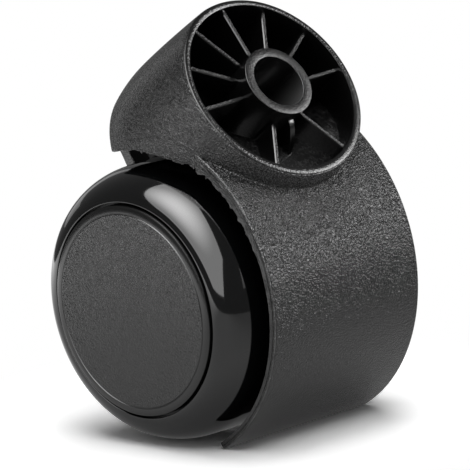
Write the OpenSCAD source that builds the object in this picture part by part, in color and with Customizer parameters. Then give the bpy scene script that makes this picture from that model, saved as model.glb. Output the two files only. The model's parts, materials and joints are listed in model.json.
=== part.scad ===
// Hooded twin-wheel chair caster with a ribbed cup for a push-in stem.
// Frame: origin at the mouth of the stem bore, +Z up the stem, +X towards the trailing wheels,
// Y along the axle. The left wheel is at -Y and the right wheel at +Y.

/* [Stem socket] */
// Diameter of the stem that the socket takes
stem_d = 10; // [8:0.5:11]
// Radial clearance of the stem in its bore
stem_clear = 0.05; // [0.02:0.01:0.1]
// Depth of the stem bore below its mouth
bore_depth = 32; // [24:0.5:36]
// Wall of the boss round the bore
boss_wall = 1.95; // [1.5:0.05:2.2]
// Thickness of the boss below the bore
boss_end_t = 3; // [2:0.5:5]
// Height of the boss mouth above the rim of the cup
boss_rise = 2; // [0.5:0.1:4]

/* [Cup] */
// Outer diameter of the cup at its rim
rim_d = 36.5; // [34:0.1:38]
// Wall of the cup at its rim
rim_wall = 1.3; // [1:0.1:2]
// Rounding of the rim's outer edge
rim_round = 0.3; // [0.1:0.05:0.5]
// Outer diameter of the cup at its widest level
belly_d = 38.7; // [38.4:0.1:40]
// Depth of the widest level below the rim
belly_depth = 17.6; // [14:0.1:20]
// Depth of the cup from its rim to its lower edge
cup_depth = 26.1; // [24:0.1:28]
// Outer diameter of the cup at its lower edge
foot_d = 37.4; // [36:0.1:38]
// Thickness of the cup's floor ahead of the hood
floor_t = 1.6; // [1:0.1:3]

/* [Ribs] */
// Angle between neighbouring rib places
rib_step = 30; // [30:15:60]
// Thickness of a rib
rib_t = 0.8; // [0.6:0.1:1.4]
// Depth of the rib tops below the rim
rib_drop = 0.85; // [0.3:0.05:3]
// Thickness of the low gusset behind the boss
gusset_t = 1.2; // [0.8:0.1:2]
// Reach of the gusset from the boss wall
gusset_reach = 4.6; // [3:0.1:6]
// Fall of the gusset's top over its reach
gusset_fall = 5; // [3:0.1:7]

/* [Hood] */
// Horizontal distance from the stem to the axle
trail = 19.8; // [18.5:0.1:21]
// Depth of the axle below the mouth of the stem bore
axle_drop = 37.1; // [36.5:0.1:38]
// Radial gap between a tyre and the wheel well
well_clear = 3.4; // [2.8:0.1:4]
// Width of the hood
hood_w = 36.2; // [34:0.1:36.8]
// Wall of the hood, at its middle
hood_wall = 1.8; // [1.4:0.1:2.2]
// Distance of the hood's centre ahead of the axle
hood_ahead = 1.45; // [0.5:0.05:2]
// Distance of the hood's centre above the axle
hood_up = 0.6; // [0:0.1:1.2]
// Distance of the wheel well's centre behind the hood's centre
well_back = 0.5; // [0:0.1:1]
// Angle of the rear lip below the hood's centre
lip_angle = 10; // [4:1:16]
// Chamfer of the hood's end edges
hood_chamfer = 0.3; // [0.1:0.05:0.6]
// Extra thickness of the housing over the front of the wheel well
front_t = 1.3; // [0.5:0.1:1.8]
// Distance behind the stem at which that extra thickness ends
front_end = 5; // [4:0.5:6]

/* [Web and hub] */
// Thickness of the web between the wheels
web_t = 5; // [3:0.5:8]
// Radius of the web below the axle
web_r = 11.3; // [10:0.1:13]
// Diameter of the hub that holds the axle
hub_d = 18; // [14:0.5:20]
// Distance from the stem to the front of the web
nose_x = 10.5; // [9:0.1:11]
// Depth of the web's front below the bore's mouth
nose_depth = 37.1; // [36:0.1:38]
// Distance that the web's front leans forward on its way up to the cup
nose_lean = 2.5; // [0:0.1:3]
// Width of the flange along the web's lower front edge
keel_w = 13; // [10:0.5:14]
// Thickness of that flange
keel_t = 2.2; // [1.5:0.1:2.5]
// Length of that flange
keel_len = 13.7; // [8:0.1:14]
// Slope of that flange
keel_angle = 10; // [0:1:15]

/* [Axle] */
// Diameter of the axle pin
axle_d = 6; // [5:0.5:7]
// Distance that the pin stands out of each push nut
axle_stub = 0.9; // [0.5:0.1:1]
// Chamfer of the pin's ends
axle_chamfer = 0.4; // [0.2:0.1:0.6]
// Radial clearance of the seated fits
seat_clear = 0.03; // [0.02:0.01:0.05]
// Radial running clearance of the wheels on the pin
run_clear = 0.06; // [0.03:0.01:0.1]
// Gap at each side of a thrust washer
side_gap = 0.15; // [0.1:0.05:0.3]
// Thickness of a thrust washer
washer_t = 0.8; // [0.5:0.1:1]
// Diameter of a thrust washer
washer_d = 12; // [10:0.5:13]
// Thickness of a push nut
nut_t = 0.6; // [0.4:0.1:0.8]
// Diameter of a push nut
nut_d = 13; // [11:0.5:14]
// Width of the plain ring round a push nut's teeth
nut_ring_w = 2; // [1.5:0.1:2.5]
// Number of teeth in a push nut
nut_teeth = 6; // [4:1:8]
// Width of the slots between the teeth
nut_slot_w = 0.8; // [0.5:0.1:1.2]

/* [Wheel] */
// Outer diameter of a wheel
wheel_d = 50; // [48:0.5:52]
// Width of a tyre
tyre_w = 16; // [15:0.1:17]
// Gap between the boss and each wheel
boss_gap = 0.8; // [0.5:0.1:1.2]
// Radial depth of the rounded shoulder, from the tread to the tyre's mouth
shoulder_t = 5.4; // [5:0.1:6]
// Reach of the rounded shoulder along the axle
shoulder_w = 9.1; // [7:0.1:10]
// Rounding of the tyre's inner edge
inner_round = 1.2; // [0.5:0.1:2]
// Thickness of the tyre over the wheel's rim
tyre_t = 4.5; // [3.5:0.1:4.8]
// Depth of the wheel's rim inside the tyre's mouth
lip_w = 4; // [3:0.1:5]
// Thickness of the wheel's rim
core_rim_t = 2.3; // [1.8:0.1:2.6]
// Thickness of the wheel's disc
disc_t = 2.2; // [1.5:0.1:4]
// Outer diameter of the wheel's hub
core_hub_d = 14; // [12:0.5:16]
// Depth of the wheel's hub inside the tyre's outer side
core_hub_inset = 4.2; // [3.8:0.1:5]
// Number of spokes on a wheel
spokes = 6; // [4:1:10]
// Thickness of a spoke
spoke_t = 1.6; // [1:0.1:2.5]
// Depth of the spokes inside both edges of the wheel's rim
spoke_inset = 3; // [2:0.1:4]
// Wall of the wheel's bush
bush_wall = 1.4; // [1:0.1:1.8]

/* [Hub cap] */
// Width of the sloping border round the grained face
border_w = 1.45; // [1:0.05:2]
// Distance that the grained face stands out of the tyre
face_rise = 0.6; // [0.2:0.1:1.2]
// Width of the groove between cap and tyre
groove_w = 0.45; // [0.2:0.05:0.6]
// Depth of the cap's sloping border below its face
border_drop = 0.7; // [0.4:0.1:1]
// Thickness of the cap's face
cap_t = 1.6; // [1.2:0.1:2]
// Depth of the cap's border
cap_border_t = 2; // [1.5:0.1:2.2]
// Length of the cap's skirt inside the rim
skirt_len = 4; // [3:0.1:5]
// Wall of the cap's skirt
skirt_wall = 1; // [0.8:0.1:1.5]

/* [Hidden] */
$fn = 96;
nylon = "#2a2a2c";
gloss_black = "#101012";
cap_black = "#232324";
core_grey = "#3a3a3d";
steel = "#b9bcc0";
zinc = "#8e9296";
acetal = "#d8d4c8";

far = 100;                                // reach of a cutting shape past the part
over = 1;                                 // overlap of a cut or a joint past a face
bore_r = stem_d / 2 + stem_clear;
boss_r = bore_r + boss_wall;
wheel_r = wheel_d / 2;
wheel_gap = 2 * (boss_r + boss_gap);
rim_z = -boss_rise;
foot_z = rim_z - cup_depth;
hood_x = trail - hood_ahead;
hood_z = hood_up - axle_drop;
well_x = hood_x + well_back;
well_r = wheel_r + well_clear;
hood_r = well_r + hood_wall;
cup_in_r = rim_d / 2 - rim_wall;
axle_r = axle_d / 2;
core_in = wheel_gap / 2 + side_gap * 2;   // inner face of the wheel's hub, along Y
hub_half = core_in - washer_t - side_gap * 2;
core_out = wheel_gap / 2 + tyre_w - core_hub_inset;   // outer face of the wheel's hub, along Y
nut_in = core_out + side_gap;
axle_half = nut_in + nut_t + axle_stub;
mouth_r = wheel_r - shoulder_t;
seat_r = wheel_r - tyre_t;                // where the tyre sits on the wheel's rim
cap_r = mouth_r - groove_w;
face_r = cap_r - border_w;
cap_face = tyre_w + face_rise;            // the cap's face, out from the tyre's inner side
cap_seat = cap_face - border_drop - cap_border_t;
core_bore_r = axle_r + run_clear + bush_wall;
arc_steps = 12;

// Points of a quarter ellipse about c, from angle a0 to a1
function arc_points(c, rx, ry, a0, a1) =
    [for (i = [0:arc_steps]) let (a = a0 + (a1 - a0) * i / arc_steps)
        c + [rx * cos(a), ry * sin(a)]];

// Point where a line from p touches the circle (c, r), on the side given by s
function touch_point(c, r, p, s) =
    let (d = p - c, a = atan2(d[1], d[0]) + s * acos(r / norm(d)))
        c + r * [cos(a), sin(a)];

// Turns a shape drawn in X and Z into a plate of thickness t about the middle plane
module plate(t) {
    rotate([90, 0, 0]) linear_extrude(t, center = true) children();
}

// A round bar along Y at (x, z)
module bar(x, z, r, w) {
    translate([x, 0, z]) rotate([90, 0, 0]) cylinder(r = r, h = w, center = true);
}

// Stands a profile of (radius, distance out) on the left wheel's axis, out from its inner side
module on_left_wheel(y) {
    translate([trail, -y, -axle_drop]) rotate([90, 0, 0]) children();
}

// ---------- housing ----------

// Outside of the cup: rounded rim, walls that widen to the belly, then draw in to the foot
module cup_outside() {
    rim_r = rim_d / 2;
    belly_r = belly_d / 2;
    foot_r = foot_d / 2;
    belly_z = rim_z - belly_depth;
    swell = [for (i = [1:arc_steps]) let (t = i / arc_steps)
        [belly_r - (belly_r - foot_r) * t * t, belly_z + (foot_z - belly_z) * t]];
    rotate_extrude()
        polygon(concat(
            [[0, rim_z], [rim_r - rim_round, rim_z]],
            [[rim_r - rim_round * (1 - cos(45)), rim_z - rim_round * (1 - sin(45))]],
            [[rim_r, rim_z - rim_round]],
            [[belly_r, belly_z]],
            swell,
            [[0, foot_z]]));
}

// The hood as a solid drum with chamfered ends
module hood_drum() {
    half = hood_w / 2;
    c = hood_chamfer;
    translate([hood_x, 0, hood_z])
        rotate([90, 0, 0])
            rotate_extrude()
                polygon([[0, -half], [hood_r - c, -half], [hood_r, c - half],
                    [hood_r, half - c], [hood_r - c, half], [0, half]]);
}

// The part of the drum that the hood keeps: behind the stem and above the rear lip
module hood_span() {
    lip = [cos(lip_angle), -sin(lip_angle)] * far;
    plate(far)
        polygon([[0, foot_z], [hood_x, hood_z], [hood_x, hood_z] + lip, [far, far], [0, far]]);
}

// Hollow of the cup between its wall, its floor and the hood
module cup_hollow() {
    difference() {
        translate([0, 0, foot_z + floor_t]) cylinder(r = cup_in_r, h = far);
        bar(hood_x, hood_z, hood_r, far);
    }
}

// Radial ribs between boss and wall; two places beside the gusset stay open
module ribs() {
    for (a = [rib_step:rib_step:360 - rib_step])
        if (a != 2 * rib_step && a != 360 - 2 * rib_step)
            rotate([0, 0, a])
                translate([0, -rib_t / 2, foot_z])
                    cube([rim_d / 2 - rim_wall / 2, rib_t, cup_depth - rib_drop]);
}

// Low gusset that runs from the boss down to the hood
module gusset() {
    plate(gusset_t)
        polygon([[0, rim_z], [boss_r, rim_z],
            [boss_r + gusset_reach, rim_z - gusset_fall],
            [boss_r + gusset_reach, hood_z], [0, hood_z]]);
}

// Web between the wheels, from the front lip round the axle to the rear lip
module web() {
    hub_c = [trail, -axle_drop];
    nose = [-nose_x, -nose_depth];
    rear = [hood_x, hood_z] + (hood_r - hood_wall) * [cos(lip_angle), -sin(lip_angle)];
    keel_end = nose + keel_len * [cos(keel_angle), -sin(keel_angle)];
    front_touch = touch_point(hub_c, web_r, keel_end, 1);
    rear_touch = touch_point(hub_c, web_r, rear, -1);
    skin = [hood_x, hood_z];
    plate(web_t) {
        intersection() {
            translate(skin) circle(r = hood_r - hood_wall / 2);
            polygon([nose, keel_end, front_touch, rear_touch, rear,
                [far, far], [-far, far], [-far, nose[1]]]);
        }
        polygon([nose, keel_end, front_touch, hub_c,
            [0, foot_z + floor_t], [-nose_x - nose_lean, foot_z + floor_t]]);
        translate(hub_c) circle(r = web_r);
    }
    translate([nose[0], 0, nose[1]])
        rotate([0, keel_angle, 0])
            translate([0, -keel_w / 2, 0]) cube([keel_len, keel_w, keel_t]);
}

// Space of the wheels in the housing, lower over its front
module well() {
    bar(well_x, hood_z, well_r - front_t, far);
    intersection() {
        bar(well_x, hood_z, well_r, far);
        translate([front_end, -far, -far]) cube(2 * far);
    }
}

module housing() {
    color(nylon)
        difference() {
            union() {
                difference() {
                    union() {
                        cup_outside();
                        intersection() {
                            hood_drum();
                            hood_span();
                        }
                    }
                    well();
                    difference() {
                        cup_hollow();
                        ribs();
                        gusset();
                    }
                }
                web();
                translate([0, 0, -bore_depth - boss_end_t])
                    cylinder(r = boss_r, h = bore_depth + boss_end_t);
                bar(trail, -axle_drop, hub_d / 2, hub_half * 2);
            }
            translate([0, 0, -bore_depth]) cylinder(r = bore_r, h = bore_depth + over);
            bar(trail, -axle_drop, axle_r + seat_clear, far);
        }
}

// ---------- axle ----------

module axle_pin() {
    color(steel)
        on_left_wheel(0)
            rotate_extrude()
                polygon([[0, -axle_half], [axle_r - axle_chamfer, -axle_half],
                    [axle_r, axle_chamfer - axle_half], [axle_r, axle_half - axle_chamfer],
                    [axle_r - axle_chamfer, axle_half], [0, axle_half]]);
}

module thrust_washer() {
    color(acetal)
        on_left_wheel(hub_half + side_gap)
            difference() {
                cylinder(d = washer_d, h = washer_t);
                translate([0, 0, -over]) cylinder(r = axle_r + run_clear, h = washer_t + 2 * over);
            }
}

// Push-on nut with spring teeth round the pin
module push_nut() {
    color(zinc)
        on_left_wheel(nut_in)
            difference() {
                cylinder(d = nut_d, h = nut_t);
                translate([0, 0, -over]) cylinder(r = axle_r + seat_clear, h = nut_t + 2 * over);
                for (i = [0:nut_teeth - 1])
                    rotate([0, 0, i * 360 / nut_teeth])
                        translate([0, -nut_slot_w / 2, -over])
                            cube([nut_d / 2 - nut_ring_w, nut_slot_w, nut_t + 2 * over]);
            }
}

// ---------- wheel ----------

module wheel_bush() {
    color(acetal)
        on_left_wheel(core_in)
            difference() {
                cylinder(r = core_bore_r - seat_clear, h = core_out - core_in);
                translate([0, 0, -over]) cylinder(r = axle_r + run_clear, h = tyre_w + 2 * over);
            }
}

// Rim, disc, hub and spokes of the wheel
module wheel_core() {
    rim_in = seat_r - core_rim_t;
    rim_w = tyre_w - lip_w;
    hub_in = core_in - wheel_gap / 2;
    hub_out = core_out - wheel_gap / 2;
    disc_in = (rim_w - disc_t) / 2;
    color(core_grey)
        on_left_wheel(wheel_gap / 2)
            difference() {
                union() {
                    rotate_extrude()
                        polygon([[0, hub_in], [core_hub_d / 2, hub_in], [core_hub_d / 2, disc_in],
                            [rim_in, disc_in], [rim_in, hub_in], [seat_r - seat_clear, hub_in],
                            [seat_r - seat_clear, rim_w - seat_clear],
                            [mouth_r - seat_clear, rim_w - seat_clear],
                            [mouth_r - seat_clear, cap_seat], [rim_in, cap_seat],
                            [rim_in, disc_in + disc_t], [core_hub_d / 2, disc_in + disc_t],
                            [core_hub_d / 2, hub_out], [0, hub_out]]);
                    for (i = [0:spokes - 1])
                        rotate([0, 0, i * 360 / spokes])
                            translate([core_hub_d / 2 - over, -spoke_t / 2, spoke_inset])
                                cube([rim_in - core_hub_d / 2 + 2 * over, spoke_t,
                                    rim_w - 2 * spoke_inset]);
                }
                translate([0, 0, -over]) cylinder(r = core_bore_r, h = tyre_w + 2 * over);
            }
}

// Tyre with a flat tread and one large elliptical shoulder
module tyre() {
    color(gloss_black)
        on_left_wheel(wheel_gap / 2)
            rotate_extrude()
                polygon(concat(
                    [[seat_r, 0]],
                    arc_points([wheel_r - inner_round, inner_round], inner_round, inner_round, -90, 0),
                    arc_points([mouth_r, tyre_w - shoulder_w], shoulder_t, shoulder_w, 0, 90),
                    [[mouth_r, tyre_w - lip_w], [seat_r, tyre_w - lip_w]]));
}

// Hub cap: grained face, sloping border and a skirt that snaps inside the rim
module hub_cap() {
    skirt_r = seat_r - core_rim_t - seat_clear;
    color(cap_black)
        on_left_wheel(wheel_gap / 2)
            rotate_extrude()
                polygon([[0, cap_face - cap_t], [skirt_r - skirt_wall, cap_face - cap_t],
                    [skirt_r - skirt_wall, cap_seat - skirt_len], [skirt_r, cap_seat - skirt_len],
                    [skirt_r, cap_seat + seat_clear], [cap_r, cap_seat + seat_clear],
                    [cap_r, cap_face - border_drop], [face_r, cap_face], [0, cap_face]]);
}

housing();
axle_pin();
wheel_core();  // left_wheel_core
tyre();  // left_tyre
hub_cap();  // left_hub_cap
wheel_bush();  // left_wheel_bush
thrust_washer();  // left_thrust_washer
push_nut();  // left_push_nut
mirror([0, 1, 0]) wheel_core();  // right_wheel_core
mirror([0, 1, 0]) tyre();  // right_tyre
mirror([0, 1, 0]) hub_cap();  // right_hub_cap
mirror([0, 1, 0]) wheel_bush();  // right_wheel_bush
mirror([0, 1, 0]) thrust_washer();  // right_thrust_washer
mirror([0, 1, 0]) push_nut();  // right_push_nut
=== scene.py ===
# %% [markdown]
# # A hooded twin-wheel caster
#
# The caster of an office chair has one big nylon moulding, the housing, with a deep cup for the
# stem in front and a half-round hood behind. Two glossy wheels turn on a steel pin under the hood.
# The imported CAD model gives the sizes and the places, and this script gives the looks. The parts
# that show most are made again as fine surfaces, because a polished tyre shows every flat facet
# in its reflections. Everything is worked out in millimetres, as on a drawing, and becomes metres
# when a mesh is made.

import bmesh
import bpy
import numpy as np
from mathutils import Matrix, Vector
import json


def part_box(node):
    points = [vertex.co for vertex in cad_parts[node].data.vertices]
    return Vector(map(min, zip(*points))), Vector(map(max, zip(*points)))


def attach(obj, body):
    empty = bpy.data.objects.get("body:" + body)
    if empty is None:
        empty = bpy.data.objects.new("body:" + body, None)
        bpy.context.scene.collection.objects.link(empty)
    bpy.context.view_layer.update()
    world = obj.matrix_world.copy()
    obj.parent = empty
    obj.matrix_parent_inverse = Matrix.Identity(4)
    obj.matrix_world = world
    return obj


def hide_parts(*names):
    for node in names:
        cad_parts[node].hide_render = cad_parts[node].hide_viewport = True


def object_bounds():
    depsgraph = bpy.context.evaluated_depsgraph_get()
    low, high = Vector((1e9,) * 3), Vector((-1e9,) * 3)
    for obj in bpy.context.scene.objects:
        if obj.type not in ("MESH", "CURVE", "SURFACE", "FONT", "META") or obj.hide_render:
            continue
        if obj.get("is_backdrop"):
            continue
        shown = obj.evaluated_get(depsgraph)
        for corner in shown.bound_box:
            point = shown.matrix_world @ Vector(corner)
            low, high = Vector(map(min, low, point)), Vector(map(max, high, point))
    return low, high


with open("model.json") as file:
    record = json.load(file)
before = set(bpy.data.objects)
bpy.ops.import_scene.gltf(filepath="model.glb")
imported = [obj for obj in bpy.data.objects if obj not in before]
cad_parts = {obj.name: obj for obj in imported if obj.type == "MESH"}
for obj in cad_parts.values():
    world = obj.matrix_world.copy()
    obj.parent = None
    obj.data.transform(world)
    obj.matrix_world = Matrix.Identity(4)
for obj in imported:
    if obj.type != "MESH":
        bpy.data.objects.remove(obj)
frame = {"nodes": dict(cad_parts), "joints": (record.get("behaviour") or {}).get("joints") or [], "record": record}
cad_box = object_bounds()
print("CAD box in mm:", [[round(1000 * c, 2) for c in corner] for corner in cad_box])

# %% [markdown]
# ## Sizes
#
# The stem's axis is the Z axis, and the mouth of its bore is at the origin. The axle's place comes
# from the wheels' joints, and the wheels' sizes come from the boxes of their CAD nodes. What no box
# gives, such as the wall of the hood, is a named value here.

# %% Sizes from the frame
MM = 0.001


def box_mm(node):
    """Lowest and highest corner of a CAD node, in millimetres."""
    return [np.array(corner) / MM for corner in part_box(node)]


joints = {joint["name"]: joint for joint in frame["joints"]}
mounts = {mount["name"]: mount for mount in frame["record"]["mounts"]}

AXLE_X, _, AXLE_Z = np.array(joints["left_wheel_spin"]["pos_m"]) / MM
BORE_R = mounts["stem_bore"]["dims"]["r_mm"]
BORE_DEPTH = mounts["stem_bore"]["dims"]["length_mm"]

tyre_low, tyre_high = box_mm("left_tyre")
WHEEL_R = (tyre_high[2] - tyre_low[2]) / 2
TYRE_IN, TYRE_OUT = -tyre_high[1], -tyre_low[1]

cap_low, cap_high = box_mm("left_hub_cap")
CAP_R = (cap_high[2] - cap_low[2]) / 2
CAP_BACK, CAP_FACE = -cap_high[1], -cap_low[1]

pin_low, pin_high = box_mm("axle_pin")
PIN_R = (pin_high[2] - pin_low[2]) / 2

housing_low, housing_high = box_mm("housing")
BELLY_R = -housing_low[0]

print(f"axle at x {AXLE_X:.2f}, z {AXLE_Z:.2f}; wheel radius {WHEEL_R:.2f}; cup radius {BELLY_R:.2f}")

# %% Sizes of the housing
RIM_Z = -2.0            # rim of the cup, below the mouth of the bore
RIM_R = 18.27           # outer radius of the cup at its rim
RIM_FLAT_R = 17.95      # where the rim's flat ends and its bevel starts
CUP_IN_R = 16.95        # inner radius of the cup
REAR_LEDGE = 0.3        # its wall is this much thicker over the hood
CUP_DEPTH = 26.1
BELLY_DEPTH = 18.7      # depth of the widest level of the cup
FOOT_Z = RIM_Z - CUP_DEPTH
FOOT_R = 18.55
FLOOR_T = 1.6
BOSS_R = 6.85
BOSS_DEPTH = BORE_DEPTH + 3
RIB_STEP = 30
RIB_T = 0.8
RIB_TOP = RIM_Z - 0.85

HOOD_X, HOOD_Z = AXLE_X - 1.45, AXLE_Z + 0.6
HOOD_R = 30.2
HOOD_HALF = 18.1        # half of the hood's width
WELL_X, WELL_Z = HOOD_X + 0.5, HOOD_Z
WELL_R = 28.4
FRONT_T = 1.3           # the housing is this much thicker over the front of the well
LIP_ANGLE = 10          # the rear lip lies this far below the hood's centre, in degrees
WEB_HALF = 2.5
WEB_R = 11.3
HUB_R = 9.0
HUB_HALF = 7.0
KEEL_START = (-10.5, -37.1)     # lower front corner of the flange along the web's front
KEEL_LENGTH, KEEL_T, KEEL_HALF, KEEL_FALL = 13.7, 2.2, 6.5, 10

# %% [markdown]
# ## Surfaces on a grid
#
# Almost every visible shape here is a surface over two parameters: the angle round an axis and the
# way along a section. The points are worked out as one numpy array of rows and columns, and each
# cell of the grid becomes a face. A section that returns to its start is a closed loop, and a
# surface that goes all the way round is a closed ring. Points that meet, as at a pole or where the
# end of a bar is pinched shut, are merged afterwards, so the mesh has no seam.

# %% Grids, rings and pieces
def cells(points, ring=False, loop=False):
    """Vertices and faces of a grid of points, shaped (rows, columns, 3).

    ring joins the last row to the first, and loop joins the last column to the first.
    """
    rows, columns = points.shape[:2]
    ids = np.arange(rows * columns).reshape(rows, columns)
    if ring:
        ids = np.vstack([ids, ids[:1]])
    if loop:
        ids = np.hstack([ids, ids[:, :1]])
    faces = np.stack([ids[:-1, :-1], ids[1:, :-1], ids[1:, 1:], ids[:-1, 1:]], axis=-1)
    return points.reshape(-1, 3), faces.reshape(-1, 4).tolist()


def piece(name, parts, body, replaces=(), sharp=35):
    """One object from several closed parts. Edges sharper than the given angle stay crisp."""
    points, faces = [], []
    for part_points, part_faces in parts:
        start = sum(len(p) for p in points)
        points.append(part_points)
        faces += [[start + i for i in face] for face in part_faces]
    mesh = bpy.data.meshes.new(name)
    mesh.from_pydata((np.vstack(points) * MM).tolist(), [], faces)
    shell = bmesh.new()
    shell.from_mesh(mesh)
    bmesh.ops.remove_doubles(shell, verts=shell.verts, dist=0.001 * MM)
    bmesh.ops.recalc_face_normals(shell, faces=shell.faces)
    shell.to_mesh(mesh)
    shell.free()
    mesh.shade_smooth()
    mesh.set_sharp_from_angle(angle=np.radians(sharp))
    thing = bpy.data.objects.new(name, mesh)
    bpy.context.scene.collection.objects.link(thing)
    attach(thing, body)
    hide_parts(*replaces)
    print(f"{name}: {len(mesh.vertices)} points, {len(mesh.polygons)} faces")
    return thing


def fillet(corners, steps=6):
    """A section whose corners are rounded. Each corner is (a, b, size).

    The rounding is a quadratic curve from size before the corner to size after it.
    """
    corners = np.array(corners, float)
    share = np.linspace(0, 1, steps)[:, None]
    section = []
    for before, here, after in zip(np.roll(corners, 1, 0), corners, np.roll(corners, -1, 0)):
        corner, size = here[:2], here[2]
        if size == 0:
            section.append(corner[None])
            continue
        back = (before[:2] - corner) / np.linalg.norm(before[:2] - corner)
        ahead = (after[:2] - corner) / np.linalg.norm(after[:2] - corner)
        start, end = corner + size * back, corner + size * ahead
        section.append((1 - share) ** 2 * start + 2 * share * (1 - share) * corner + share ** 2 * end)
    return np.vstack(section)


def turned(section, centre, out, steps=288):
    """A closed section of (radius, distance out) turned round the axis through centre along out.

    A point is centre + radius * (cos, sin of the angle, on two directions square to the axis)
    + distance * out.
    """
    out = np.array(out, float)
    side = np.array([1.0, 0.0, 0.0])
    across = np.cross(out, side)
    angle = np.linspace(0, 2 * np.pi, steps, endpoint=False)
    spoke = np.cos(angle)[:, None] * side + np.sin(angle)[:, None] * across
    points = spoke[:, None] * section[None, :, :1] + out * section[None, :, 1:] + np.array(centre)
    return cells(points, ring=True, loop=True)


# %% [markdown]
# ## Housing: the cup
#
# The cup is a ring whose section changes on the way round: it ends on the ground level of its foot
# in front, is cut off by the round wheel well at the sides, and sinks into the hood behind. Three
# functions of place hold all of this: the outer radius at a height, and the heights of the well and
# of the hood above a point. The wall then follows them at each angle.

# %% Shape of the cup, the hood and the wheel well
def smooth(value, low, high):
    """0 below low, 1 above high, and a smooth step between."""
    share = np.clip((value - low) / (high - low), 0, 1)
    return share * share * (3 - 2 * share)


def barrel(z):
    """Outer radius of the cup at height z: widest at the belly, and less above and below it."""
    depth = RIM_Z - z
    above = np.clip(1 - depth / BELLY_DEPTH, 0, 1) ** 1.5
    below = np.clip((depth - BELLY_DEPTH) / (CUP_DEPTH - BELLY_DEPTH), 0, 1) ** 2
    return BELLY_R - (BELLY_R - RIM_R) * above - (BELLY_R - FOOT_R) * below


def arch(x, centre_x, centre_z, radius):
    """Height of a round arch over x, and far below where x lies outside it."""
    inside = np.clip(radius ** 2 - (x - centre_x) ** 2, 0, None)
    return np.where(inside > 0, centre_z + np.sqrt(inside), -1000.0)


def well_top(x):
    """Top of the wheel well over x. The well is lower over its front."""
    return arch(x, WELL_X, WELL_Z, WELL_R - FRONT_T * (1 - smooth(x, 1.6, 8.4)))


def hood_top(x):
    return arch(x, HOOD_X, HOOD_Z, HOOD_R)


# %% Flash along the edge of the wheel well
FLASH_START = 74        # the flash runs from this angle to the front of the well, in degrees
FLASH_MOST = 1.15


def teeth(seed):
    """Angles and reaches of the flash's corners: uneven steps, many small and a few long."""
    draws = np.random.default_rng(seed)
    angles = FLASH_START - 4 + np.cumsum(0.35 + 2.0 * draws.random(90) ** 2)
    reach = 0.08 + 0.92 * draws.random(90) ** 2.2
    return angles, FLASH_MOST * reach


TEETH = {-1: teeth(11), 1: teeth(23)}


def flash(x, z, side):
    """How far the ragged flash reaches into the well at an edge point.

    The reach follows the angle round the well, in straight lines between the corners, and it is
    longest over the top of the wheel.
    """
    angle = np.degrees(np.arctan2(z - WELL_Z, x - WELL_X))
    left, right = np.interp(angle, *TEETH[-1]), np.interp(angle, *TEETH[1])
    swell = smooth(angle, FLASH_START - 2, FLASH_START + 4) * (0.45 + 0.55 * smooth(angle, 80, 105))
    swell = swell * (1 - 0.5 * smooth(angle, 112, 128))
    return np.where(np.asarray(side) < 0, left, right) * swell


# %% Wall of the cup
def cup_wall(steps=540, levels=34):
    """The cup's wall as a ring. Its columns go up the inside, over the rim and down the barrel."""
    angle = np.linspace(0, 2 * np.pi, steps, endpoint=False)
    cos, sin = np.cos(angle), np.sin(angle)
    side = np.sign(sin)

    def low_edge(radius):
        x = radius * cos
        sunk = 0.7 * smooth(x, 6.0, 8.0)
        return np.maximum(FOOT_Z, well_top(x) + sunk)

    low = np.full(steps, FOOT_Z)
    for _ in range(8):
        low = low_edge(barrel(low))
    in_front = 1 - smooth(low - FOOT_Z, 0.0, 2.0)
    round_r = 0.12 + 0.4 * in_front
    inner = CUP_IN_R - REAR_LEDGE * smooth(cos, -0.3, 0.8)
    low_in = low_edge(inner)

    columns = [(inner, low_in + 0.3 * in_front)]
    columns += [(inner, low_in + (RIM_Z - 0.15 - low_in) * k / 6) for k in range(1, 7)]
    columns += [(inner + 0.04, RIM_Z - 0.04 + 0 * inner), (inner + 0.12, RIM_Z + 0 * inner)]
    rim = [(RIM_FLAT_R, RIM_Z)]
    rim += [(RIM_FLAT_R + 0.12, RIM_Z - 0.06), (RIM_R - 0.1, RIM_Z - 0.24), (RIM_R - 0.02, RIM_Z - 0.42)]
    columns += [(np.full(steps, r), np.full(steps, z)) for r, z in rim]
    top = RIM_Z - 0.7
    for k in range(levels):
        z = top + (low + round_r - top) * k / (levels - 1)
        columns.append((barrel(z), z))
    for turn in np.radians([22.5, 45, 67.5, 90]):
        inset, rise = round_r * (1 - np.cos(turn)), round_r * (1 - np.sin(turn))
        columns.append((barrel(low + round_r) - inset, low + rise))
    points = np.stack([np.stack([r * cos, r * sin, z], -1) for r, z in columns], axis=1)

    edge = points[:, -1]
    reach = flash(edge[:, 0], edge[:, 2], side) * (1 - smooth(edge[:, 0], 6.2, 7.4)) * (1 - in_front)
    inward = np.stack([WELL_X - edge[:, 0], 0 * low, WELL_Z - edge[:, 2]], -1)
    inward /= np.linalg.norm(inward, axis=1, keepdims=True)
    thin = np.stack([cos, sin, 0 * cos], -1)
    tip = edge + inward * reach[:, None]
    fin = np.stack([tip, tip - 0.12 * thin, edge - 0.35 * thin], axis=1)
    return cells(np.concatenate([points, fin], axis=1), ring=True, loop=True)


# %% [markdown]
# ## Housing: the hood
#
# The hood is a half-round sheet. Its section goes along the outside from end to end, round a small
# chamfer, down the end face and back along the inside. The sheet runs on inside the cup, where it
# is the cup's floor, so it narrows there to stay within the cup's wall. Both ends are pinched shut.

# %% Hood
CHAMFER = 0.3


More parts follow.
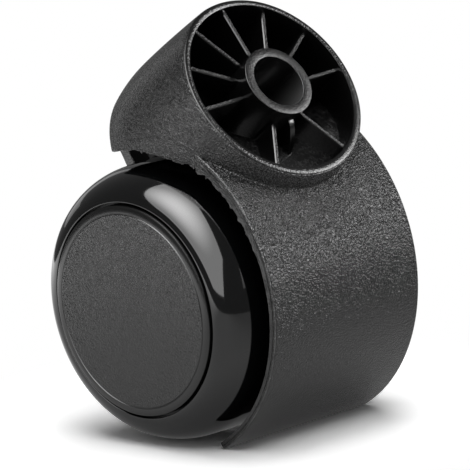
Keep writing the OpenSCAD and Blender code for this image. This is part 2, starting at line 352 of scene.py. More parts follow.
def hood(steps=400, spans=9):
    """The hood: a section carried round an arc, from the rear lip to the floor of the cup."""
    front = 180 - np.degrees(np.arcsin((FOOT_Z + FLOOR_T - 0.7 - HOOD_Z) / HOOD_R))
    angle = np.radians(np.linspace(-LIP_ANGLE, front, steps))
    cos, sin = np.cos(angle), np.sin(angle)
    offset = WELL_X - HOOD_X
    inner = offset * cos + np.sqrt(WELL_R ** 2 - (offset * sin) ** 2)
    x = HOOD_X + HOOD_R * cos
    reach_r = CUP_IN_R + 0.35 + (BELLY_R - 0.2 - CUP_IN_R - 0.35) * smooth(x, -1, 6.6)
    half = np.minimum(HOOD_HALF, np.sqrt(np.clip(reach_r ** 2 - x ** 2, 1, None)))
    half = np.where(x > 6.0, HOOD_HALF, half)

    def end(side):
        """Radius and distance along the axle of the end's section, from outside to inside."""
        edge_x, edge_z = HOOD_X + inner * cos, HOOD_Z + inner * sin
        reach = flash(edge_x, edge_z, side) * smooth(edge_x, 5.6, 6.4)
        turn = np.radians([0, 30, 60, 90])
        rows = [
            (HOOD_R - CHAMFER * (1 - np.cos(t)) + 0 * half, half - CHAMFER * (1 - np.sin(t)))
            for t in turn]
        rows += [(inner - reach, half), (inner - reach, half - 0.12), (inner - 0.2 * reach, half - 0.3)]
        return [(r, side * y) for r, y in rows]

    across = np.linspace(-1, 1, spans)
    outside = [(np.full(steps, HOOD_R), share * (half - 0.5)) for share in across]
    inside = [(inner, -share * (half - 0.5)) for share in across]
    section = outside + end(1) + inside + end(-1)[::-1]
    radius = np.stack([r for r, _ in section], axis=1)
    y = np.stack([w for _, w in section], axis=1)

    middle = (HOOD_R + inner) / 2
    pinch = np.clip(y, -(half - 0.5)[:, None], (half - 0.5)[:, None])
    soft = middle[:, None] + (radius - middle[:, None]) * 0.85
    count = radius.shape[1]
    first, last = np.full((1, count), middle[0]), np.full((1, count), middle[-1])
    radius = np.vstack([first, soft[:1], radius[1:], last])
    y = np.vstack([pinch[:1], y[:1], y[1:], pinch[-1:]])
    cos = np.concatenate([cos[:1], cos[:1], cos[1:], cos[-1:]])
    sin = np.concatenate([sin[:1], sin[:1], sin[1:], sin[-1:]])
    points = np.stack([HOOD_X + radius * cos[:, None], y, HOOD_Z + radius * sin[:, None]], axis=-1)
    return cells(points, loop=True)


# %% Fillet where the cup stands in the hood
def foot_fillet(size=0.4, steps=200, arc=8):
    """A narrow concave strip along the line where the barrel meets the hood.

    Its section is a quadratic curve from the barrel to the hood, and its back is buried.
    """
    limit = np.arcsin(HOOD_HALF / BELLY_R) - np.radians(1.5)
    angle = np.linspace(-limit, limit, steps)
    cos, sin = np.cos(angle), np.sin(angle)
    size = size * smooth(limit - np.abs(angle), 0, np.radians(12)) + 0.01
    radius = np.full(steps, RIM_R)
    for _ in range(8):
        radius = barrel(hood_top(radius * cos))
    z = hood_top(radius * cos)

    def at(r, height):
        return np.stack([r * cos, r * sin, height], axis=-1)

    corner, high = at(radius, z), at(barrel(z + size), z + size)
    low = at(radius + size, hood_top((radius + size) * cos))
    share = np.linspace(0, 1, arc)[None, :, None]
    curve = (1 - share) ** 2 * high[:, None] + 2 * share * (1 - share) * corner[:, None]
    curve = curve + share ** 2 * low[:, None]
    back = at(radius - 0.5, z - 0.5)[:, None]
    points = np.concatenate([curve, back], axis=1)
    pinch = np.repeat(corner[:, None], points.shape[1], 1)
    return cells(np.concatenate([pinch[:1], points, pinch[-1:]]), loop=True)


# %% [markdown]
# ## Housing: inside the cup and between the wheels
#
# Thin ribs run from the boss to the cup's wall. They stand on the floor in front and on the hood
# behind. A rib is a bar whose section is a slim upright strip with a soft top edge, carried outwards
# along a radius. The web and the hub hold the axle between the wheels.

# %% Ribs, gusset, floor and boss
def upright(distance, angle, bottom, top, foot_t, top_t):
    """A thin upright plate along a radius, with its two ends pinched shut."""
    along = np.array([np.cos(angle), np.sin(angle), 0])
    across = np.array([-np.sin(angle), np.cos(angle), 0])
    half_top, half_foot = top_t / 2, foot_t / 2
    strip = [(-half_foot, 0, 0), (-half_top, 1, -0.18), (0.14 - half_top, 1, 0)]
    strip += [(half_top - 0.14, 1, 0), (half_top, 1, -0.18), (half_foot, 0, 0)]
    offset, share, drop = np.array(strip).T
    height = bottom[:, None] * (1 - share) + top[:, None] * share + drop
    width = np.repeat(offset[None], len(distance), 0)
    width[0] = width[-1] = 0
    points = distance[:, None, None] * along + width[..., None] * across
    points[..., 2] = height
    return cells(points, loop=True)


def ribs():
    """Nine ribs. The two places beside the gusset are empty."""
    distance = np.linspace(BOSS_R - 0.3, CUP_IN_R + 0.4, 16)
    for degrees in range(RIB_STEP, 360, RIB_STEP):
        if degrees in (2 * RIB_STEP, 360 - 2 * RIB_STEP):
            continue
        angle = np.radians(degrees)
        ground = np.maximum(FOOT_Z + FLOOR_T, hood_top(distance * np.cos(angle))) - 0.5
        yield upright(distance, angle, ground, np.full(16, RIB_TOP), RIB_T * 1.3, RIB_T)


def gusset(reach=4.6, fall=5.0):
    """A low web from the boss down to the hood, with a rounded top."""
    distance = np.linspace(BOSS_R - 0.3, BOSS_R + reach, 24)
    share = np.clip((distance - BOSS_R) / reach, 0, 1)
    top = RIM_Z - 0.4 - fall * share ** 1.6
    return upright(distance, 0.0, hood_top(distance) - 0.6, top, 1.3, 1.1)


def floor_plate():
    """The cup's floor ahead of the well, with its rear edge standing into the well as a bead."""
    back_x = WELL_X - WELL_R + 1.5 + 1.2
    y = np.linspace(-1, 1, 61) * (np.sqrt((CUP_IN_R + 0.5) ** 2 - back_x ** 2) - 0.05)
    front_x = -np.sqrt((CUP_IN_R + 0.5) ** 2 - y ** 2)
    top, low = FOOT_Z + FLOOR_T, FOOT_Z + 0.02
    back = [(0.3, top), (0.08, top - 0.08), (0, top - 0.3), (0, low + 0.3), (0.08, low + 0.08), (0.3, low)]
    columns = [(front_x, top)] + [(back_x - inset, z) for inset, z in back] + [(front_x, low)]
    x = np.stack([c[0] + 0 * y for c in columns], axis=1)
    z = np.stack([c[1] + 0 * y for c in columns], axis=1)
    z[0] = z[-1] = (top + low) / 2
    return cells(np.stack([x, np.repeat(y[:, None], x.shape[1], 1), z], axis=-1), loop=True)


def boss():
    """The round socket for the stem: a tube with a closed end."""
    section = fillet([
        (0, -BOSS_DEPTH, 0), (BOSS_R, -BOSS_DEPTH, 0.6), (BOSS_R, 0, 0.12),
        (BORE_R, 0, 0.1), (BORE_R, -BORE_DEPTH, 0), (0, -BORE_DEPTH, 0)])
    return turned(section, (0, 0, 0), (0, 0, 1), steps=144)


# %% Web and hub
def tangent(centre, radius, point, side):
    """Angle at which a line from point touches a circle, on the given side of it."""
    away = np.array(point, float) - centre
    return np.arctan2(away[1], away[0]) + side * np.arccos(radius / np.hypot(*away))


def arc(centre, radius, start, end, steps):
    """Points on a circle from one angle to another."""
    angle = np.linspace(start, end, steps)
    return np.stack([centre[0] + radius * np.cos(angle), centre[1] + radius * np.sin(angle)], -1)


def slab(outline, half, bevel=0.2):
    """A flat plate of an outline in X and Z about the middle plane, with bevelled edges."""
    ahead = np.roll(outline, -1, 0) - np.roll(outline, 1, 0)
    inward = np.stack([-ahead[:, 1], ahead[:, 0]], -1) / np.linalg.norm(ahead, axis=1, keepdims=True)
    levels = [(bevel, -half), (0, bevel - half), (0, half - bevel), (bevel, half)]
    layers = [np.insert(outline + inset * inward, 1, y, axis=1) for inset, y in levels]
    points, faces = cells(np.stack(layers, axis=1), ring=True)
    count, width = len(outline), len(levels)
    faces += [[width * i for i in range(count)], [width * i + width - 1 for i in range(count)]]
    return points, faces


fall = np.radians(KEEL_FALL)
KEEL_ALONG = np.array([np.cos(fall), -np.sin(fall)])
KEEL_UP = np.array([np.sin(fall), np.cos(fall)])


def web():
    """The plate between the wheels, from the flange in front round the axle to the rear lip."""
    axle = np.array([AXLE_X, AXLE_Z])
    nose = np.array(KEEL_START)
    keel_end = nose + KEEL_LENGTH * KEEL_ALONG
    lip = -np.radians(LIP_ANGLE)
    rear = (HOOD_X + WELL_R * np.cos(lip), HOOD_Z + WELL_R * np.sin(lip))
    start = tangent(axle, WEB_R, keel_end, 1) - 2 * np.pi
    end = tangent(axle, WEB_R, rear, -1)
    while start < -np.pi * 1.5:
        start += 2 * np.pi
    below = arc(axle, WEB_R, start, end, 40)
    roof = arc((HOOD_X, HOOD_Z), HOOD_R - 0.9, -np.radians(LIP_ANGLE - 1), np.radians(158), 120)
    return slab(np.vstack([[nose, keel_end], below, [rear], roof, [(-13, FOOT_Z + 1)]]), WEB_HALF)


def keel():
    """The flange across the web's lower front edge, a flat bar that slopes down to the rear."""
    low = np.array(KEEL_START) + np.linspace(0, KEEL_LENGTH, 12)[:, None] * KEEL_ALONG
    return slab(np.vstack([low, (low + KEEL_T * KEEL_UP)[::-1]]), KEEL_HALF, 0.15)


def hub():
    """The tube that holds the axle pin."""
    section = fillet([
        (PIN_R + 0.03, -HUB_HALF, 0.2), (HUB_R, -HUB_HALF, 0.4),
        (HUB_R, HUB_HALF, 0.4), (PIN_R + 0.03, HUB_HALF, 0.2)])
    return turned(section, (AXLE_X, 0, AXLE_Z), (0, -1, 0), steps=144)


housing = piece(
    "housing_moulding",
    [cup_wall(), hood(), foot_fillet(), *ribs(), gusset(), floor_plate(), boss(), web(), keel(), hub()],
    "frame", replaces=["housing"])

# %% [markdown]
# ## Wheels
#
# Each tyre is a ring with a flat tread and one large elliptical shoulder on the outer side. The hub
# cap stands a little proud of it: a grained disc, a hair-thin groove, and a smooth border that falls
# away to a dark gap. Both are sections turned round the axle.

# %% Tyres
SHOULDER_W = 9.1
MOUTH_R = WHEEL_R - 5.4
SEAT_R = WHEEL_R - 4.5
LIP_W = 4.0


def tyre_section():
    """Radius and distance out: the shoulder is a quarter of an ellipse."""
    turn = np.linspace(0, np.pi / 2, 49)[:-1]
    shoulder = np.stack([
        MOUTH_R + (WHEEL_R - MOUTH_R) * np.cos(turn),
        TYRE_OUT - SHOULDER_W * (1 - np.sin(turn))], -1)
    inner = fillet([
        (SEAT_R, TYRE_IN, 0.2), (WHEEL_R, TYRE_IN, 1.2), (WHEEL_R, TYRE_OUT - SHOULDER_W, 0)], 9)[:-1]
    mouth = fillet([
        (MOUTH_R + 1.0, TYRE_OUT, 0), (MOUTH_R, TYRE_OUT, 0.15), (MOUTH_R, TYRE_OUT - LIP_W, 0),
        (SEAT_R, TYRE_OUT - LIP_W, 0)], 8)[1:]
    keep = shoulder[:, 0] > MOUTH_R + 0.35
    return np.vstack([inner, shoulder[keep], mouth])


def cap_section(face_r=17.7, border_w=1.45):
    """Radius and distance out of the hub cap, from its middle over the face to its skirt."""
    groove = [(face_r - 0.1, CAP_FACE), (face_r - 0.03, CAP_FACE - 0.1), (face_r + 0.05, CAP_FACE - 0.1)]
    start = np.array([face_r + 0.12, CAP_FACE - 0.02])
    control = np.array([face_r + 0.6 * border_w, CAP_FACE - 0.03])
    end = np.array([CAP_R - 0.15, CAP_FACE - 0.2])
    share = np.linspace(0, 1, 14)[:, None]
    border = (1 - share) ** 2 * start + 2 * share * (1 - share) * control + share ** 2 * end
    skirt = [(CAP_R - 0.05, CAP_FACE - 0.24), (CAP_R, CAP_FACE - 0.36), (CAP_R, CAP_FACE - 2.65)]
    skirt += [(18.15, CAP_FACE - 2.65), (18.15, CAP_BACK), (17.2, CAP_BACK)]
    skirt += [(17.2, CAP_FACE - 1.6), (0, CAP_FACE - 1.6)]
    return np.vstack([[(0, CAP_FACE), (face_r * 0.5, CAP_FACE)], groove, border, skirt])


tyres, caps = {}, {}
for name, out in (("left", (0, -1, 0)), ("right", (0, 1, 0))):
    centre = (AXLE_X, 0, AXLE_Z)
    wheel = f"{name}_wheel"
    tyres[name] = piece(
        f"{name}_tyre_ring", [turned(tyre_section(), centre, out, 360)], wheel,
        replaces=[f"{name}_tyre"])
    caps[name] = piece(
        f"{name}_cap_disc", [turned(cap_section(), centre, out, 288)], wheel,
        replaces=[f"{name}_hub_cap"], sharp=25)

# %% [markdown]
# ## Shader maths
#
# A finish is a handful of numbers that change over the surface. The class below wraps a number in a
# node tree, so that a formula can be written as a formula: 1 - mask, or 0.4 + 0.1 * grain. Any other
# node is added by one method.

# %% A small language for materials
def connect(tree, value, socket):
    """Puts a constant on a socket or links another number to it."""
    if isinstance(value, Number):
        tree.links.new(value.socket, socket)
    else:
        socket.default_value = value


class Number:
    """A number, colour or vector in a node tree. Arithmetic on it adds Math nodes."""

    def __init__(self, tree, socket):
        self.tree, self.socket = tree, socket

    def maths(self, operation, *values):
        node = self.tree.nodes.new("ShaderNodeMath")
        node.operation = operation
        for socket, value in zip(node.inputs, values):
            connect(self.tree, value, socket)
        return Number(self.tree, node.outputs[0])

    def __add__(self, other):
        return self.maths("ADD", self, other)

    def __sub__(self, other):
        return self.maths("SUBTRACT", self, other)

    def __rsub__(self, other):
        return self.maths("SUBTRACT", other, self)

    def __mul__(self, other):
        return self.maths("MULTIPLY", self, other)

    def __truediv__(self, other):
        return self.maths("DIVIDE", self, other)

    def __pow__(self, other):
        return self.maths("POWER", self, other)

    __radd__, __rmul__ = __add__, __mul__

    def unsigned(self):
        """The number without its sign."""
        return self.maths("ABSOLUTE", self)

    def step(self, low, high):
        """0 below low, 1 above high, and a smooth step between."""
        node = self.tree.nodes.new("ShaderNodeMapRange")
        node.interpolation_type = "SMOOTHSTEP"
        connect(self.tree, self, node.inputs["Value"])
        node.inputs["From Min"].default_value = low
        node.inputs["From Max"].default_value = high
        return Number(self.tree, node.outputs["Result"])


class Finish:
    """A material on one Principled shader."""

    def __init__(self, name):
        self.material = bpy.data.materials.new(name)
        self.material.use_nodes = True
        self.tree = self.material.node_tree
        self.shader = self.tree.nodes["Principled BSDF"]
        self.place = self.node("ShaderNodeTexCoord", output="Object")

    def node(self, kind, settings=None, inputs=None, output=0):
        """Adds a node: its settings first, then the values or links of its sockets."""
        made = self.tree.nodes.new(kind)
        for key, value in (settings or {}).items():
            setattr(made, key, value)
        for key, value in (inputs or {}).items():
            connect(self.tree, value, made.inputs[key])
        return Number(self.tree, made.outputs[output])

    def noise(self, size, detail=2.0, roughness=0.5):
        """Soft random grain whose features are about size millimetres across."""
        inputs = {"Vector": self.place, "Scale": 1 / (size * MM), "Detail": detail, "Roughness": roughness}
        return self.node("ShaderNodeTexNoise", None, inputs)

    def cells(self, size, feature="F1", smoothness=0.6):
        """Distance to the nearest of many random points about size millimetres apart."""
        settings = {"feature": feature}
        inputs = {"Vector": self.place, "Scale": 1 / (size * MM)}
        if feature == "SMOOTH_F1":
            inputs["Smoothness"] = smoothness
        return self.node("ShaderNodeTexVoronoi", settings, inputs, "Distance")

    def coordinate(self, axis):
        """One coordinate of the place, in millimetres."""
        return self.node("ShaderNodeSeparateXYZ", None, {0: self.place}, axis) * (1 / MM)

    def mix(self, share, first, second):
        """A colour between two colours."""
        made = self.tree.nodes.new("ShaderNodeMix")
        made.data_type = "RGBA"
        sockets = [s for s in made.inputs if s.enabled]
        for socket, value in zip(sockets, (share, first, second)):
            connect(self.tree, value, socket)
        return Number(self.tree, next(s for s in made.outputs if s.enabled))

    def relief(self, height, depth):
        """Bumps of the given depth in millimetres, where height goes from 0 to 1."""
        inputs = {"Height": height, "Distance": depth * MM, "Strength": 1.0}
        connect(self.tree, self.node("ShaderNodeBump", None, inputs), self.shader.inputs["Normal"])

    def set(self, **values):
        """Sets the shader's sockets: Base_Color stands for Base Color."""
        for key, value in values.items():
            connect(self.tree, value, self.shader.inputs[key.replace("_", " ")])
        return self

    def paint(self, *things):
        for thing in things:
            thing.data.materials.clear()
            thing.data.materials.append(self.material)


def grey(level, warm=0.0):
    """A grey colour, a little warmer or cooler."""
    return (level * (1 + warm), level, level * (1 - warm), 1.0)


# %% [markdown]
# ## Finishes
#
# The housing is charcoal nylon from a spark-eroded mould: a fine pebbled grain, with small glints painted into its
# colour as white specks. The tyres are polished black. The caps have a finer grain than the housing, with painted
# glints on their lit side, and their border is smooth.

# %% Nylon of the housing
def housing_nylon():
    """Grained outside. The mould was smooth in the cup, on its rim and under the hood.

    The front left of the cup is duller. Glints are painted into the colour as white specks, on what faces up and
    fewer towards the right; the cup's floor has painted lighter mottling, the rear of the bore's wall is painted
    lighter, and the hood's edge has a painted highlight.
    """
    finish = Finish("black nylon")
    x, y, z = (finish.coordinate(axis) for axis in range(3))
    cup_r = (x * x + y * y) ** 0.5
    across, above = x - HOOD_X, z - HOOD_Z
    hood_r = (across * across + above * above) ** 0.5
    turned_up = above.maths("ARCTAN2", above, across)
    aside = y.unsigned()

    # masks: 1 in the place that they name
    within_wall = 1 - (cup_r + 0.017 * REAR_LEDGE * x).step(CUP_IN_R + 0.03, CUP_IN_R + 0.12)
    in_cup = within_wall * hood_r.step(HOOD_R - 1.0, HOOD_R - 0.9)
    on_cup = cup_r.step(17.9, 18.1) * (1 - x.step(7.0, 8.0))
    smooth_top = z.step(RIM_Z - 0.35, RIM_Z - 0.15)
    under_hood = (1 - hood_r.step(HOOD_R - 0.7, HOOD_R - 0.5)) * (1 - on_cup)
    grained = (1 - in_cup) * (1 - under_hood)
    front_left = -0.77 * x - 0.64 * y
    cup_nose = on_cup * front_left.step(11.5, 17.5)
    cup_floor = in_cup * (1 - hood_r.step(HOOD_R + 0.1, HOOD_R + 0.3)) * (1 - smooth_top)
    painted_light_bore_wall = (1 - cup_r.step(BORE_R + 0.03, BORE_R + 0.1)) * x.step(-2.0, 4.0)
    end_face = aside.step(HOOD_HALF - 0.06, HOOD_HALF - 0.02)
    end_face = end_face * under_hood.maths("MAXIMUM", under_hood, hood_r.step(27.0, 27.5))
    chamfer = aside.step(HOOD_HALF - 0.22, HOOD_HALF - 0.1) * hood_r.step(HOOD_R - 0.25, HOOD_R - 0.12)
    beside_web = (1 - aside.step(WEB_HALF + 0.1, WEB_HALF + 0.3)) * under_hood
    fewer_right = 1 - 0.55 * y.step(0, 14)
    facing_up = (1 - on_cup) * turned_up.step(1.05, 1.5) * fewer_right
    # share of painted glints in the colour, and of extra relief: most on what faces up and on the cup
    painted_glints_and_relief = grained * (1 - smooth_top) * (0.04 + 0.18 * on_cup + 0.2 * cup_nose + 0.8 * facing_up)

    # grains: pebbles and fine grain of the mould, painted glints, and streaks along the hood's edge: scuffs on its
    # end faces and a painted highlight on its chamfer
    pebbles = finish.cells(0.36, "SMOOTH_F1", 0.4)
    fine = finish.noise(0.3, 1.0, 0.5)
    painted_glints = finish.noise(0.16, 0.0).step(0.53, 0.72)
    painted_light_mottle = finish.noise(0.8, 4.0, 0.7).step(0.35, 0.75)
    along_edge = finish.node("ShaderNodeCombineXYZ", None, {
        0: hood_r / 0.22, 1: turned_up * HOOD_R / 2.6, 2: y / 3.0})
    streaks = finish.node("ShaderNodeTexNoise", None, {"Vector": along_edge, "Scale": 1.0, "Detail": 3.0})
    scuff = end_face * streaks.step(0.5, 0.75)
    painted_edge_highlight = chamfer * x.step(6.5, 8.0) * streaks.step(0.3, 0.6)

    shade = finish.mix(finish.noise(9.0, 2.0).step(0.3, 0.7), grey(0.005), grey(0.008))
    shade = finish.mix(on_cup, shade, grey(0.002))
    shade = finish.mix(in_cup, shade, grey(0.004))
    # painted light: lighter mottling on the cup's floor where light falls on it
    shade = finish.mix(cup_floor * painted_light_mottle, shade, grey(0.04))
    # painted light: the rear side of the bore's wall is lighter, where light falls on it
    shade = finish.mix(painted_light_bore_wall, shade, grey(0.12))
    shade = finish.mix(scuff, shade, grey(0.05))
    # painted highlight: a lighter streaky line on the chamfer of the hood's edge, behind the cup
    shade = finish.mix(painted_edge_highlight, shade, grey(0.09))
    # painted glints: white specks mixed into the base colour
    shade = finish.mix(0.18 * painted_glints * painted_glints_and_relief, shade, grey(1.0))
    finish.set(
        Base_Color=shade, Roughness=0.17 + 0.05 * fine + 0.5 * beside_web,
        Specular_IOR_Level=0.5 - 0.3 * cup_nose)

    depth = 0.04 + 0.34 * grained * (1 - 0.85 * smooth_top) + 0.3 * painted_glints_and_relief + 0.1 * on_cup * (1 - smooth_top)
    finish.relief((0.5 * pebbles + 0.8 * fine) * depth + 0.1 * scuff, 0.5)
    return finish


def polished_black():
    finish = Finish("polished black")
    haze = finish.noise(6.0, 3.0)
    finish.set(Base_Color=grey(0.003, -0.08), Roughness=0.05 + 0.03 * haze)
    finish.relief(finish.noise(14.0, 1.0), 0.02)
    return finish


def cap_plastic():
    finish = Finish("grained cap")
    x, z = finish.coordinate(0) - AXLE_X, finish.coordinate(2) - AXLE_Z
    radius = (x * x + z * z) ** 0.5
    grained = 1 - radius.step(17.45, 17.6)
    grain = 0.55 * finish.cells(0.36, "SMOOTH_F1") + 0.6 * finish.noise(0.3, 1.0, 0.5)
    upward = (0.5 * z - 0.86 * x).step(-10, 16)
    cap_painted_glints = finish.noise(0.21, 0.0).step(0.5, 0.72) * grained
    # painted glints: white specks in the base colour, many more on the cap's upper front side, where it is lit
    shade = finish.mix(cap_painted_glints * (0.02 + 0.2 * upward), grey(0.003), grey(1.0))
    finish.set(Base_Color=shade, Roughness=0.22 + 0.04 * grained)
    finish.relief(grain * grained * (0.9 + 0.8 * upward), 0.15)
    return finish


def plain_plastic(name, colour, roughness):
    finish = Finish(name)
    finish.set(Base_Color=colour, Roughness=roughness + 0.1 * finish.noise(3.0))
    finish.relief(finish.noise(0.5, 3.0), 0.01)
    return finish


def bright_metal(name, level, roughness):
    finish = Finish(name)
    finish.set(Base_Color=grey(level), Metallic=1.0, Roughness=roughness + 0.12 * finish.noise(1.2, 4.0))
    finish.relief(finish.noise(0.3, 3.0), 0.004)
    return finish


housing_nylon().paint(housing)
polished_black().paint(*tyres.values())
cap_plastic().paint(*caps.values())
nodes = frame["nodes"]
wheel_nylon = plain_plastic("wheel nylon", grey(0.012), 0.42)
acetal = plain_plastic("natural acetal", (0.75, 0.72, 0.66, 1), 0.35)
nut_zinc = bright_metal("zinc plate", 0.5, 0.3)
bright_metal("drawn steel", 0.6, 0.2).paint(nodes["axle_pin"])
for name in ("left", "right"):
    wheel_nylon.paint(nodes[f"{name}_wheel_core"])
    acetal.paint(nodes[f"{name}_wheel_bush"], nodes[f"{name}_thrust_washer"])
    nut_zinc.paint(nodes[f"{name}_push_nut"])

# %% [markdown]
# ## Studio
#
# The caster lies rolled back on its tyres and its rear lip, so the studio's floor is a plane that touches both.
# The floor is one-sided, so that a camera below it still sees the caster. To the camera it is white paper with the
# caster's soft shadow on it, and the shadow is left out far from the caster. To polished parts it shows the
# caster's soft shadow near it, and further out it glows with painted light, brighter towards the left. To
# everything else it is plain pale paper.

# %% Level of the floor
lip = np.array([
    HOOD_X + HOOD_R * np.cos(np.radians(LIP_ANGLE)),
    HOOD_Z - HOOD_R * np.sin(np.radians(LIP_ANGLE))])
down_angle = tangent(np.array([AXLE_X, AXLE_Z]), WHEEL_R, lip, -1)
UP = -np.array([np.cos(down_angle), 0, np.sin(down_angle)])
AXLE = np.array([AXLE_X, 0, AXLE_Z])
touch = AXLE - (WHEEL_R + 0.05) * UP
print("floor faces", np.round(UP, 3), "at", np.round(touch, 2))

# %% Camera
VIEW_AZIMUTH, VIEW_ELEVATION, VIEW_ROLL = np.radians([20.7, 43.8, 44.3])
VIEW_DISTANCE = 3000.0
WIDTH_MM = 470 / 5.609          # what the frame spans at the axle
sin_a, cos_a = np.sin(VIEW_AZIMUTH), np.cos(VIEW_AZIMUTH)
sin_e, cos_e = np.sin(VIEW_ELEVATION), np.cos(VIEW_ELEVATION)
back = np.array([sin_a * cos_e, -cos_a * cos_e, sin_e])
level_right = np.array([cos_a, sin_a, 0])
level_top = np.cross(back, level_right)
right = np.cos(VIEW_ROLL) * level_right + np.sin(VIEW_ROLL) * level_top
top = np.cross(back, right)

camera = bpy.data.objects.new("camera", bpy.data.cameras.new("camera"))
bpy.context.scene.collection.objects.link(camera)
aim = AXLE + 1.070 * right + 8.272 * top
turn = Matrix([list(row) for row in np.stack([right, top, back], axis=1)]).to_4x4()
camera.matrix_world = Matrix.Translation(Vector((aim + VIEW_DISTANCE * back) * MM)) @ turn
camera.data.sensor_width = 36
camera.data.lens = VIEW_DISTANCE * 36 / WIDTH_MM
bpy.context.scene.camera = camera
print("camera lens", round(camera.data.lens, 1), "mm")

# %% Directions in the studio
TOWARDS = back - np.dot(back, UP) * UP
TOWARDS /= np.linalg.norm(TOWARDS)
ACROSS = np.cross(UP, TOWARDS)


def aim_at(azimuth, elevation):
    """Unit vectors out to a place, to its right and to its top.

    The azimuth counts from the camera's side to its right, and the elevation from the floor.
    """
    a, e = np.radians([azimuth, elevation])
    level = np.cos(a) * TOWARDS + np.sin(a) * ACROSS
    return (
        np.cos(e) * level + np.sin(e) * UP,
        np.cos(a) * ACROSS - np.sin(a) * TOWARDS,
        np.cos(e) * UP - np.sin(e) * level)


# %% Floor
def sheet(name, corners, material):
    """A flat staged sheet with the given corners in millimetres."""
    mesh = bpy.data.meshes.new(name)
    mesh.from_pydata((np.array(corners) * MM).tolist(), [], [list(range(len(corners)))])
    mesh.materials.append(material)
    thing = bpy.data.objects.new(name, mesh)
    bpy.context.scene.collection.objects.link(thing)
    thing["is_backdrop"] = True
    return thing


class Stage(Finish):
    """A one-sided material of a floor or a lamp. Its shaders are sockets."""

    def mix_shader(self, share, first, second):
        inputs = {0: share, 1: first, 2: second}
        return self.node("ShaderNodeMixShader", None, inputs)

    def emission(self, strength):
        return self.node("ShaderNodeEmission", None, {"Strength": strength})

    def diffuse(self, level):
        return self.node("ShaderNodeBsdfDiffuse", None, {"Color": grey(level)})

    def show(self, front):
        """Links a shader to the output, and makes the back of the sheet clear."""
        behind = self.node("ShaderNodeNewGeometry", output="Backfacing")
        clear = self.node("ShaderNodeBsdfTransparent")
        self.tree.nodes.remove(self.shader)
        output = self.tree.nodes["Material Output"]
        connect(self.tree, self.mix_shader(behind, front, clear), output.inputs["Surface"])
        return self.material


FLOOR_LEVEL = 0.8       # colour of the paper to everything but the camera and polished parts
FLOOR_SHOWN = 1.7       # how bright it shows, so that all but the shadow is white
SHADOW_NEAR, SHADOW_FAR = 30.0, 60.0
FLOOR_R = 240.0         # the paper ends here

paper = Stage("white paper")
distance = paper.node("ShaderNodeVectorMath", {"operation": "DISTANCE"}, {
    0: paper.place, 1: Vector(touch * MM)}, "Value") / MM
leftward = paper.node("ShaderNodeVectorMath", {"operation": "DOT_PRODUCT"}, {
    0: paper.place, 1: Vector(aim_at(-95, 0)[0])}, "Value") / MM
camera_ray = paper.node("ShaderNodeLightPath", output="Is Camera Ray")
glossy_ray = paper.node("ShaderNodeLightPath", output="Is Glossy Ray")
far = distance.step(SHADOW_NEAR, SHADOW_FAR)
shown = paper.mix_shader(far, paper.diffuse(FLOOR_SHOWN), paper.emission(1.0))
# painted light: what polished parts see of the paper away from the caster is a glow, brighter towards the left
level = 0.6 + 0.35 * leftward.step(-90, 20) + 2.0 * leftward.step(95, 210)
painted_floor_glow = paper.emission(level)
open_share = 0.14 + 0.86 * distance.step(17, 52)     # the rest lies in the caster's shadow
mirrored = paper.mix_shader(open_share, paper.diffuse(0.6), painted_floor_glow)
white = paper.mix_shader(glossy_ray, shown, mirrored)
paper.show(paper.mix_shader(camera_ray + glossy_ray, paper.diffuse(FLOOR_LEVEL), white))

around = np.radians(np.arange(0, 360, 5))
level_a = np.cross(UP, [0, 1, 0])
level_b = np.cross(UP, level_a)
rim = touch + FLOOR_R * (np.cos(around)[:, None] * level_a + np.sin(around)[:, None] * level_b)
floor = sheet("studio_floor", rim, paper.material)
if np.dot(np.array(floor.data.polygons[0].normal), UP) < 0:
    floor.data.flip_normals()

# %% [markdown]
# ## Light
#
# The lamps are placed by their direction from the axle: degrees to the right of the camera, and
# degrees above the floor. A large softbox stands on the left, hottest in its middle, and shows in
# the tyres as a pale cloud. A strip lamp on the right draws a short line on them, a soft panel beside
# it lights the top of the hood, and a low wall close behind lights the far shoulder of the tyre.
# These are seen only in reflections. The light that colours see is two broad lamps, one in front and
# one behind, and an even white room, together at the level where a colour shows about as written.
# The shadow is dark only where both lamps are hidden, under the wheels and the lip.

# %% Lamps
LAMP_DISTANCE = 1500.0


def mirror_lamp(
        name, azimuth, elevation, corners, hot, edge, middle=(0, 0), fade=1.0, far_away=LAMP_DISTANCE):
    """An emitter that only reflections see.

    Its corners are (right, up) shares of its distance. It is hot in the middle and fades to edge.
    """
    out, rightward, upward = aim_at(azimuth, elevation)

    def place(across, up):
        return AXLE + far_away * (out + across * rightward + up * upward)

    glow = Stage(name)
    away = glow.node("ShaderNodeVectorMath", {"operation": "DISTANCE"}, {
        0: glow.place, 1: Vector(place(*middle) * MM)}, "Value") / (far_away * MM)
    glow.show(glow.emission(away.step(0, fade) * (edge - hot) + hot))
    lamp = sheet(name, [place(*corner) for corner in corners], glow.material)
    if np.dot(np.array(lamp.data.polygons[0].normal), out) > 0:
        lamp.data.flip_normals()
    lamp.visible_camera = lamp.visible_diffuse = lamp.visible_shadow = False
    lamp.visible_transmission = False


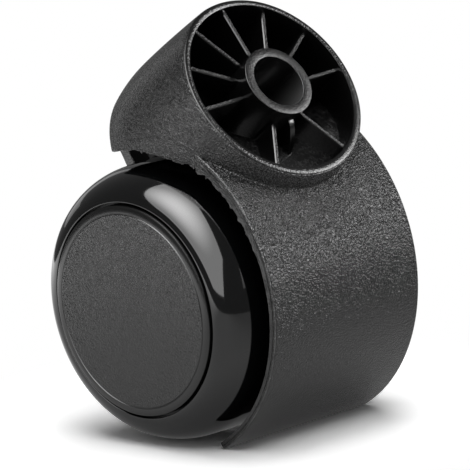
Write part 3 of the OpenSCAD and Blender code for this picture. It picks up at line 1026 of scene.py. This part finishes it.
SOFTBOX = [(1.1, 0.13), (0.27, 0.97), (-0.63, 1.2), (-0.75, -0.47), (0, -1.13), (1.03, -1.0)]
mirror_lamp("softbox", -40, 50, SOFTBOX, 13.3, 4.0, (-0.08, 0.29), 0.85)
STRIP = [(0.21, 0.3), (0.07, 0.3), (-0.2, -0.45), (-0.08, -0.45)]
mirror_lamp("strip", 58, 35, STRIP, 3.0, 1.0, (0, 0), 0.5)
PANEL = [(-0.16, -0.3), (0.16, -0.3), (0.16, 0.3), (-0.16, 0.3)]
mirror_lamp("side_panel", 95, 22, PANEL, 15.0, 9.0, (0, 0), 0.35)

WALL = [
    (0.4, 0.1), (0.4, 0.29), (0, 0.3), (-0.16, 0.42), (-0.27, 0.6), (-0.34, 0.6), (-0.3, 0.3),
    (-0.1, 0.15), (0, 0.1)]
mirror_lamp("low_wall", -145, 0, WALL, 1.0, 0.7, (0.2, 0.15), 0.6, 130.0)


def lamp(name, azimuth, elevation, watts, size):
    """A round area lamp that lights colours and isn't seen in reflections."""
    light = bpy.data.lights.new(name, "AREA")
    light.shape = "DISK"
    light.size = size * MM
    light.energy = watts
    holder = bpy.data.objects.new(name, light)
    bpy.context.scene.collection.objects.link(holder)
    out = Vector(aim_at(azimuth, elevation)[0])
    holder.location = Vector(AXLE * MM) + out * LAMP_DISTANCE * MM
    holder.rotation_euler = out.to_track_quat("Z", "Y").to_euler()
    holder.visible_camera = holder.visible_glossy = False


lamp("front_key", 25, 70, 10, 1400)
lamp("rear_key", 180, 70, 10, 1400)

# %% World
ROOM_DIFFUSE = 0.15     # how bright the room is to colours
ROOM_DARK = 0.2         # how bright polished parts see it
world = bpy.data.worlds.new("studio")
bpy.context.scene.world = world
world.use_nodes = True
tree = world.node_tree
shader = tree.nodes["Background"]
shader.inputs["Color"].default_value = grey(1)
rays = tree.nodes.new("ShaderNodeLightPath").outputs
plain = Number(tree, rays["Is Diffuse Ray"]) * (ROOM_DIFFUSE - ROOM_DARK) + ROOM_DARK
connect(tree, Number(tree, rays["Is Camera Ray"]) * (1 - plain) + plain, shader.inputs["Strength"])

scene = bpy.context.scene
scene.view_settings.view_transform = "Standard"

# %% [markdown]
# ## Finish
#
# The bounds of the finished model are printed, and put in a list beside those of the imported one.

# %% Finish
new_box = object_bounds()
text = [[list(corner) for corner in box] for box in (cad_box, new_box)]
print("visual box in mm:", [[round(1000 * c, 2) for c in corner] for corner in new_box])
